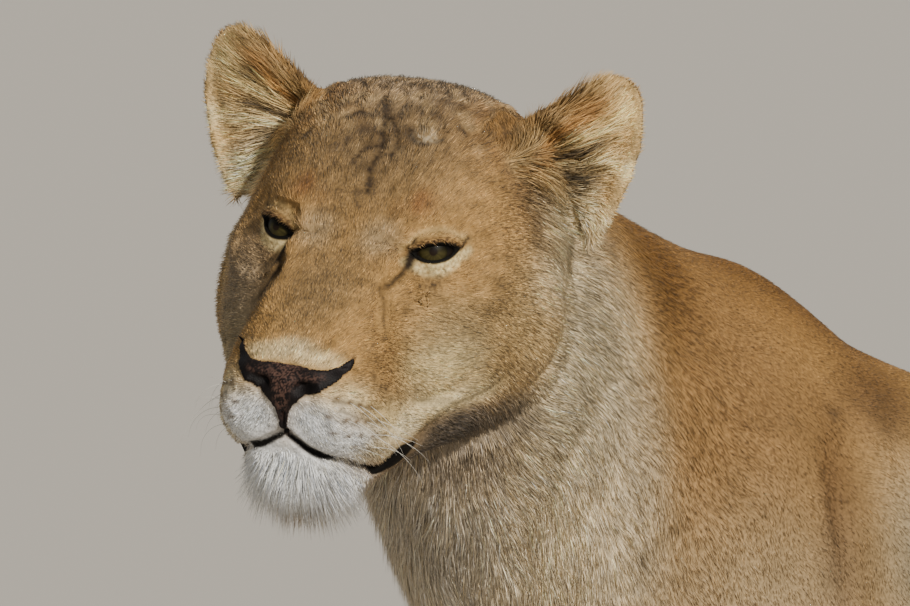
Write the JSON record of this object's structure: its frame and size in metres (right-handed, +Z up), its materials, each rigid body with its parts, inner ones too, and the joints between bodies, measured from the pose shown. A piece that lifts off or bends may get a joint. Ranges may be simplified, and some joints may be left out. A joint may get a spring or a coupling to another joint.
{
  "type": "lioness",
  "caption": "Life-size still model of a lioness standing on all fours, head turned to her left, tail hanging.",
  "frame": {"origin": "on the floor, under the middle of the bounding box", "axes": "-Y the way the body faces, +X towards the lioness's left, +Z up"},
  "size_m": [0.3528, 1.634, 1.2053],
  "materials": {
    "coat": "short matt fur",
    "ear_fur": "matt fur",
    "dark_tuft": "matt long hair",
    "nose_leather": "satin, finely grained",
    "eye": "wet gloss"
  },
  "bodies": {
    "root": {"belly": "coat", "chest": "coat", "ear_left": "ear_fur", "ear_right": "ear_fur", "eye_left": "eye", "eye_right": "eye", "fore_paw_left": "coat", "fore_paw_right": "coat", "forearm_left": "coat", "forearm_right": "coat", "head": "coat", "hind_paw_left": "coat", "hind_paw_right": "coat", "neck": "coat", "nose": "nose_leather", "rump": "coat", "shank_left": "coat", "shank_right": "coat", "shoulder_left": "coat", "shoulder_right": "coat", "tail_base": "coat", "tail_middle": "coat", "tail_tip": "dark_tuft", "thigh_left": "coat", "thigh_right": "coat"}
  },
  "joints": []
}
